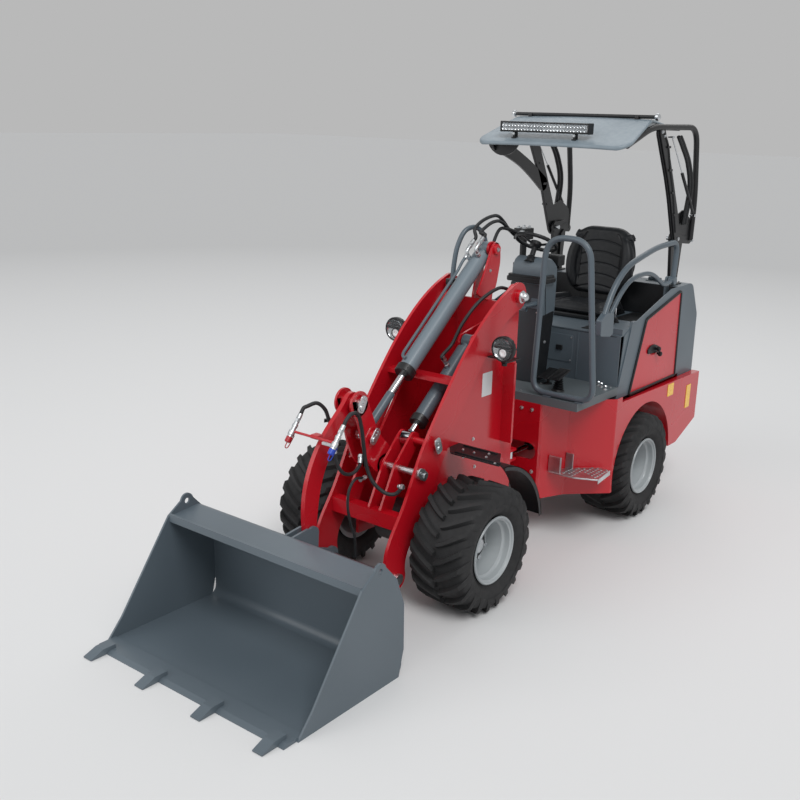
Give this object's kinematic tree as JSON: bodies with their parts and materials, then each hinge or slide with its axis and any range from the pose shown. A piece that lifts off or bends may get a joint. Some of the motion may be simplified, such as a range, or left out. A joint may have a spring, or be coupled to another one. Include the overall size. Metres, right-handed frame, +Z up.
{
  "type": "compact wheel loader",
  "caption": "Compact articulated wheel loader with bucket, linkage boom, open driver's place under a folding canopy.",
  "frame": {"origin": "on the ground under the middle of the machine's box", "axes": "+X forward to the bucket, +Y to the driver's left, +Z up"},
  "size_m": [4.855, 1.444, 2.895],
  "materials": {
    "red_paint": "gloss",
    "grey_paint": "satin",
    "black_paint": "satin",
    "chrome": "polished",
    "zinc": "satin",
    "roof_plastic": "gloss",
    "cast_iron": "rough",
    "seat_vinyl": "satin",
    "black_plastic": "matte",
    "beacon_glass": "gloss",
    "rim_silver": "satin",
    "tyre": "matte"
  },
  "bodies": {
    "rear_frame": {"rear_chassis": "red_paint", "rear_axle": "black_paint", "engine": "cast_iron", "tail_weight": "red_paint", "bodywork_left": "red_paint", "bodywork_right": "red_paint", "platform": "grey_paint", "cabinet": "grey_paint", "side_panels": "red_paint", "step": "zinc", "seat_shell": "black_plastic", "seat_cushion": "seat_vinyl", "seat_backrest": "seat_vinyl", "console": "grey_paint", "controls": "black_paint", "entry_loop": "grey_paint", "canopy_posts": "black_paint"},
    "hood": {"hood": "grey_paint"},
    "canopy": {"canopy_frame": "black_paint", "canopy_roof": "roof_plastic", "light_bar": "black_plastic", "beacon": "beacon_glass"},
    "side_guard": {"arm_rail": "grey_paint"},
    "steering_wheel": {"steering_wheel": "black_paint"},
    "steer_barrel": {"steer_barrel": "black_paint"},
    "steer_rod": {"steer_rod": "chrome"},
    "front_frame": {"tower": "red_paint", "front_axle": "black_paint", "front_fenders": "black_paint", "headlamps": "black_paint"},
    "front_left": {"rim_front_left": "rim_silver", "tyre_front_left": "tyre"},
    "front_right": {"rim_front_right": "rim_silver", "tyre_front_right": "tyre"},
    "rear_left": {"rim_rear_left": "rim_silver", "tyre_rear_left": "tyre"},
    "rear_right": {"rim_rear_right": "rim_silver", "tyre_rear_right": "tyre"},
    "boom": {"boom": "red_paint"},
    "hitch_pin": {"hitch_pin": "zinc"},
    "crank_pin": {"crank_pin": "zinc"},
    "link_pin": {"link_pin": "zinc"},
    "bellcrank": {"bellcrank": "red_paint"},
    "link": {"link": "red_paint"},
    "tilt_barrel": {"tilt_barrel": "grey_paint"},
    "tilt_rod": {"tilt_rod": "chrome"},
    "lift_barrel": {"lift_barrel": "black_paint"},
    "lift_rod": {"lift_rod": "chrome"},
    "bucket": {"bucket": "grey_paint", "cutting_edge": "grey_paint", "hitch_frame": "grey_paint"}
  },
  "joints": [
    {"name": "articulation", "type": "hinge", "parent": "rear_frame", "child": "front_frame", "pos_m": [-0.4475, 0, 0.59], "axis": [0, 0, 1], "range_deg": [-35, 35]},
    {"name": "front_left_wheel", "type": "hinge", "parent": "front_frame", "child": "front_left", "pos_m": [0.5525, 0.52, 0.39], "axis": [0, 1, 0], "continuous": true},
    {"name": "front_right_wheel", "type": "hinge", "parent": "front_frame", "child": "front_right", "pos_m": [0.5525, -0.52, 0.39], "axis": [0, 1, 0], "continuous": true},
    {"name": "rear_left_wheel", "type": "hinge", "parent": "rear_frame", "child": "rear_left", "pos_m": [-1.4475, 0.52, 0.39], "axis": [0, 1, 0], "continuous": true},
    {"name": "rear_right_wheel", "type": "hinge", "parent": "rear_frame", "child": "rear_right", "pos_m": [-1.4475, -0.52, 0.39], "axis": [0, 1, 0], "continuous": true},
    {"name": "boom_lift", "type": "hinge", "parent": "front_frame", "child": "boom", "pos_m": [-0.2375, 0, 1.74], "axis": [0, -1, 0], "range_deg": [0, 60]},
    {"name": "hitch_turn", "type": "hinge", "parent": "boom", "child": "hitch_pin", "pos_m": [0.9425, 0, 0.22], "axis": [0, -1, 0], "range_deg": [-60.5, 0.5]},
    {"name": "bucket_tilt", "type": "hinge", "parent": "hitch_pin", "child": "bucket", "pos_m": [0.9425, 0, 0.22], "axis": [0, 1, 0], "range_deg": [-25, 30]},
    {"name": "crank_turn", "type": "hinge", "parent": "boom", "child": "crank_pin", "pos_m": [0.7525, 0, 0.818], "axis": [0, -1, 0], "range_deg": [-64.88, 0.5]},
    {"name": "bellcrank_rock", "type": "hinge", "parent": "crank_pin", "child": "bellcrank", "pos_m": [0.7525, 0, 0.818], "axis": [0, -1, 0], "range_deg": [-31.25, 26.12]},
    {"name": "link_turn", "type": "hinge", "parent": "bellcrank", "child": "link_pin", "pos_m": [0.9825, 0, 1.234], "axis": [0, -1, 0], "range_deg": [-0.5, 52.1]},
    {"name": "link_swing", "type": "hinge", "parent": "link_pin", "child": "link", "pos_m": [0.9825, 0, 1.234], "axis": [0, -1, 0], "range_deg": [-21.05, 25.16]},
    {"name": "tilt_barrel_swing", "type": "hinge", "parent": "front_frame", "child": "tilt_barrel", "pos_m": [-0.3475, 0, 2], "axis": [0, -1, 0], "range_deg": [-0.5, 50.84]},
    {"name": "tilt_rod_slide", "type": "slide", "parent": "tilt_barrel", "child": "tilt_rod", "axis": [0.7755, 0, -0.6313], "range_m": [-0.0905, 0.1084]},
    {"name": "lift_barrel_swing", "type": "hinge", "parent": "front_frame", "child": "lift_barrel", "pos_m": [0.0065, 0, 1.457], "axis": [0, -1, 0], "range_deg": [-0.5, 78.56]},
    {"name": "lift_rod_slide", "type": "slide", "parent": "lift_barrel", "child": "lift_rod", "axis": [0.7732, 0, -0.6341], "range_m": [-0.001, 0.2499]},
    {"name": "steer_barrel_swing", "type": "hinge", "parent": "rear_frame", "child": "steer_barrel", "pos_m": [-1.0475, 0.19, 0.64], "axis": [0, 0, 1], "range_deg": [-4.29, 4.29]},
    {"name": "steer_rod_slide", "type": "slide", "parent": "steer_barrel", "child": "steer_rod", "axis": [1, 0, 0], "range_m": [-0.1121, 0.1121]},
    {"name": "steering_wheel_turn", "type": "hinge", "parent": "rear_frame", "child": "steering_wheel", "pos_m": [-0.8875, 0, 2.015], "axis": [-0.4695, 0, 0.8829], "continuous": true},
    {"name": "hood_lid", "type": "hinge", "parent": "rear_frame", "child": "hood", "pos_m": [-2.1515, 0, 1.654], "axis": [0, 1, 0], "range_deg": [0, 60]},
    {"name": "canopy_fold", "type": "hinge", "parent": "rear_frame", "child": "canopy", "pos_m": [-2.0075, 0, 1.99], "axis": [0, 1, 0], "range_deg": [-90, 0]},
    {"name": "side_guard_lift", "type": "hinge", "parent": "rear_frame", "child": "side_guard", "pos_m": [-1.8775, 0, 1.7], "axis": [0, -1, 0], "range_deg": [0, 60]}
  ],
  "couplings": [
    {"joint": "hitch_turn", "follows": "boom_lift", "ratio": -1},
    {"joint": "crank_turn", "follows": "boom_lift", "ratio": -1.073},
    {"joint": "bellcrank_rock", "follows": "bucket_tilt", "ratio": -1.025},
    {"joint": "link_turn", "follows": "boom_lift", "ratio": 0.86},
    {"joint": "link_swing", "follows": "bucket_tilt", "ratio": 0.822},
    {"joint": "tilt_barrel_swing", "follows": "boom_lift", "ratio": 0.839},
    {"joint": "tilt_rod_slide", "follows": "bucket_tilt", "m_per_rad": 0.20506},
    {"joint": "lift_barrel_swing", "follows": "boom_lift", "ratio": 1.301},
    {"joint": "lift_rod_slide", "follows": "boom_lift", "m_per_rad": 0.23766},
    {"joint": "steer_barrel_swing", "follows": "articulation", "ratio": 0.1082},
    {"joint": "steer_rod_slide", "follows": "articulation", "m_per_rad": -0.1819}
  ]
}
